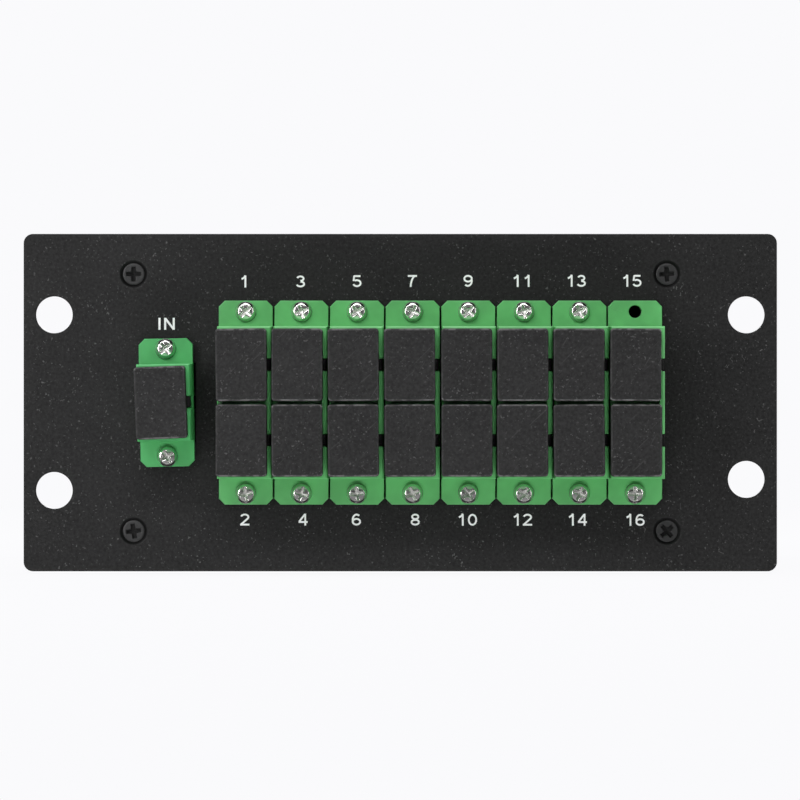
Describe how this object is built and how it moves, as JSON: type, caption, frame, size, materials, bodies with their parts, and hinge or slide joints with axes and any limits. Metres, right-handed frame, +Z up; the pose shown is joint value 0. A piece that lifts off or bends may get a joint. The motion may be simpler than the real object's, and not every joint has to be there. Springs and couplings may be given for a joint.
{
  "type": "plc fibre splitter",
  "caption": "Rack module that splits one optical fibre into many, with green angled duplex sockets under black dust caps on a black steel front plate.",
  "frame": {"origin": "middle of the underside of the whole module's box: on the plane of the front plate's lower edge", "axes": "+X along the front plate to the right as seen from the front, +Y back into the rack, +Z up; the ports face -Y"},
  "size_m": [0.1296, 0.1186, 0.058],
  "materials": {
    "black_powder_coat": "black powder coat with a fine sand texture",
    "green_plastic": "moulded green plastic, half gloss",
    "cap_plastic": "soft matt black plastic with fine grain",
    "bright_screws": "bright nickel plate",
    "black_screws": "black oxide",
    "insert_plastic": "moulded green plastic",
    "connector_plastic": "moulded green plastic",
    "splitter_steel": "brushed steel tube",
    "fibre_jacket": "white loose tube"
  },
  "bodies": {
    "module": {"adapter_input": "green_plastic", "adapter_ports_11_12": "green_plastic", "adapter_ports_13_14": "green_plastic", "adapter_ports_15_16": "green_plastic", "adapter_ports_1_2": "green_plastic", "adapter_ports_3_4": "green_plastic", "adapter_ports_5_6": "green_plastic", "adapter_ports_7_8": "green_plastic", "adapter_ports_9_10": "green_plastic", "ear_screws": "bright_screws", "fibre_coil": "fibre_jacket", "front_plate": "black_powder_coat", "input_connector": "connector_plastic", "input_latch_insert": "insert_plastic", "latch_inserts": "insert_plastic", "lid": "black_powder_coat", "lid_screws": "black_screws", "output_connectors": "connector_plastic", "plate_screws": "black_screws", "splitter_tube": "splitter_steel", "tray": "black_powder_coat"},
    "cap_input": {"dust_cap_input": "cap_plastic"},
    "cap_1": {"dust_cap_1": "cap_plastic"},
    "cap_2": {"dust_cap_2": "cap_plastic"},
    "cap_3": {"dust_cap_3": "cap_plastic"},
    "cap_4": {"dust_cap_4": "cap_plastic"},
    "cap_5": {"dust_cap_5": "cap_plastic"},
    "cap_6": {"dust_cap_6": "cap_plastic"},
    "cap_7": {"dust_cap_7": "cap_plastic"},
    "cap_8": {"dust_cap_8": "cap_plastic"},
    "cap_9": {"dust_cap_9": "cap_plastic"},
    "cap_10": {"dust_cap_10": "cap_plastic"},
    "cap_11": {"dust_cap_11": "cap_plastic"},
    "cap_12": {"dust_cap_12": "cap_plastic"},
    "cap_13": {"dust_cap_13": "cap_plastic"},
    "cap_14": {"dust_cap_14": "cap_plastic"},
    "cap_15": {"dust_cap_15": "cap_plastic"},
    "cap_16": {"dust_cap_16": "cap_plastic"}
  },
  "joints": [
    {"name": "cap_input_pull", "type": "slide", "parent": "module", "child": "cap_input", "axis": [0, -1, 0], "range_m": [0, 0.02]},
    {"name": "cap_1_pull", "type": "slide", "parent": "module", "child": "cap_1", "axis": [0, -1, 0], "range_m": [0, 0.02]},
    {"name": "cap_2_pull", "type": "slide", "parent": "module", "child": "cap_2", "axis": [0, -1, 0], "range_m": [0, 0.02]},
    {"name": "cap_3_pull", "type": "slide", "parent": "module", "child": "cap_3", "axis": [0, -1, 0], "range_m": [0, 0.02]},
    {"name": "cap_4_pull", "type": "slide", "parent": "module", "child": "cap_4", "axis": [0, -1, 0], "range_m": [0, 0.02]},
    {"name": "cap_5_pull", "type": "slide", "parent": "module", "child": "cap_5", "axis": [0, -1, 0], "range_m": [0, 0.02]},
    {"name": "cap_6_pull", "type": "slide", "parent": "module", "child": "cap_6", "axis": [0, -1, 0], "range_m": [0, 0.02]},
    {"name": "cap_7_pull", "type": "slide", "parent": "module", "child": "cap_7", "axis": [0, -1, 0], "range_m": [0, 0.02]},
    {"name": "cap_8_pull", "type": "slide", "parent": "module", "child": "cap_8", "axis": [0, -1, 0], "range_m": [0, 0.02]},
    {"name": "cap_9_pull", "type": "slide", "parent": "module", "child": "cap_9", "axis": [0, -1, 0], "range_m": [0, 0.02]},
    {"name": "cap_10_pull", "type": "slide", "parent": "module", "child": "cap_10", "axis": [0, -1, 0], "range_m": [0, 0.02]},
    {"name": "cap_11_pull", "type": "slide", "parent": "module", "child": "cap_11", "axis": [0, -1, 0], "range_m": [0, 0.02]},
    {"name": "cap_12_pull", "type": "slide", "parent": "module", "child": "cap_12", "axis": [0, -1, 0], "range_m": [0, 0.02]},
    {"name": "cap_13_pull", "type": "slide", "parent": "module", "child": "cap_13", "axis": [0, -1, 0], "range_m": [0, 0.02]},
    {"name": "cap_14_pull", "type": "slide", "parent": "module", "child": "cap_14", "axis": [0, -1, 0], "range_m": [0, 0.02]},
    {"name": "cap_15_pull", "type": "slide", "parent": "module", "child": "cap_15", "axis": [0, -1, 0], "range_m": [0, 0.02]},
    {"name": "cap_16_pull", "type": "slide", "parent": "module", "child": "cap_16", "axis": [0, -1, 0], "range_m": [0, 0.02]}
  ]
}
